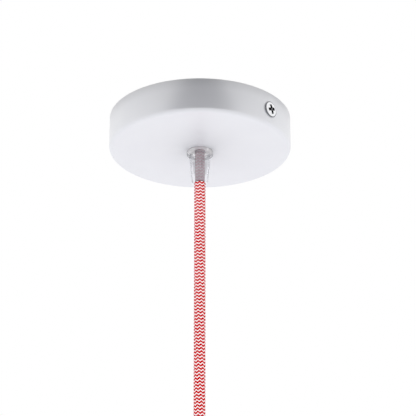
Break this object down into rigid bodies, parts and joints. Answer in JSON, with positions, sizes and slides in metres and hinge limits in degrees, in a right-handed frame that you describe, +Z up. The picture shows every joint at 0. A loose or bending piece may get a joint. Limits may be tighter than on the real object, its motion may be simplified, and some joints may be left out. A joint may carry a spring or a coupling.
{
  "type": "pendant cord set",
  "caption": "Round ceiling canopy with side screws, a clear conical cord grip, a zigzag textile cable and a screw-in lamp holder on its end.",
  "frame": {"origin": "middle of the ceiling bracket's top face, on the ceiling plane", "axes": "+Z up into the ceiling, out of the bracket's top face; +X along the bracket towards the right-hand side screw"},
  "size_m": [0.1248, 0.12, 0.2968],
  "materials": {
    "white_paint": "smooth white powder coat, satin",
    "bright_chrome": "bright nickel-chrome plate",
    "clear_plastic": "clear polished plastic",
    "textile_braid": "red and white zigzag textile braid",
    "zinc_steel": "zinc-plated steel",
    "brass": "plain brass",
    "terminal_plastic": "natural white polyamide",
    "porcelain": "white glaze",
    "core_brown": "brown insulation with a bare copper end",
    "core_blue": "blue insulation with a bare copper end",
    "core_green_yellow": "green insulation with a yellow stripe and a bare copper end"
  },
  "bodies": {
    "root": {"canopy_cup": "white_paint", "holder_sleeve": "white_paint", "ceiling_bracket": "zinc_steel", "grip_washer": "zinc_steel", "grip_nut": "zinc_steel", "side_screw_right": "bright_chrome", "side_screw_left": "bright_chrome", "grip_body": "clear_plastic", "grip_cap": "clear_plastic", "holder_grip_body": "clear_plastic", "holder_grip_cap": "clear_plastic", "textile_cable": "textile_braid", "terminal_block": "terminal_plastic", "earth_lug": "brass", "earth_screw": "brass", "holder_stirrup": "zinc_steel", "holder_nut": "zinc_steel", "stirrup_screw_right": "zinc_steel", "stirrup_screw_left": "zinc_steel", "holder_earth_lug": "brass", "socket_body": "porcelain", "screw_shell": "brass", "centre_contact": "brass", "block_screw": "zinc_steel", "terminal_insert_1": "brass", "terminal_insert_2": "brass", "clamp_screw_1": "zinc_steel", "clamp_screw_2": "zinc_steel", "clamp_screw_3": "zinc_steel", "clamp_screw_4": "zinc_steel", "live_terminal": "brass", "live_terminal_screw": "zinc_steel", "live_rivet": "brass", "neutral_terminal": "brass", "neutral_terminal_screw": "zinc_steel", "neutral_rivet": "brass", "upper_core_live": "core_brown", "upper_core_neutral": "core_blue", "upper_core_earth": "core_green_yellow", "lower_core_live": "core_brown", "lower_core_neutral": "core_blue", "lower_core_earth": "core_green_yellow"}
  },
  "joints": []
}
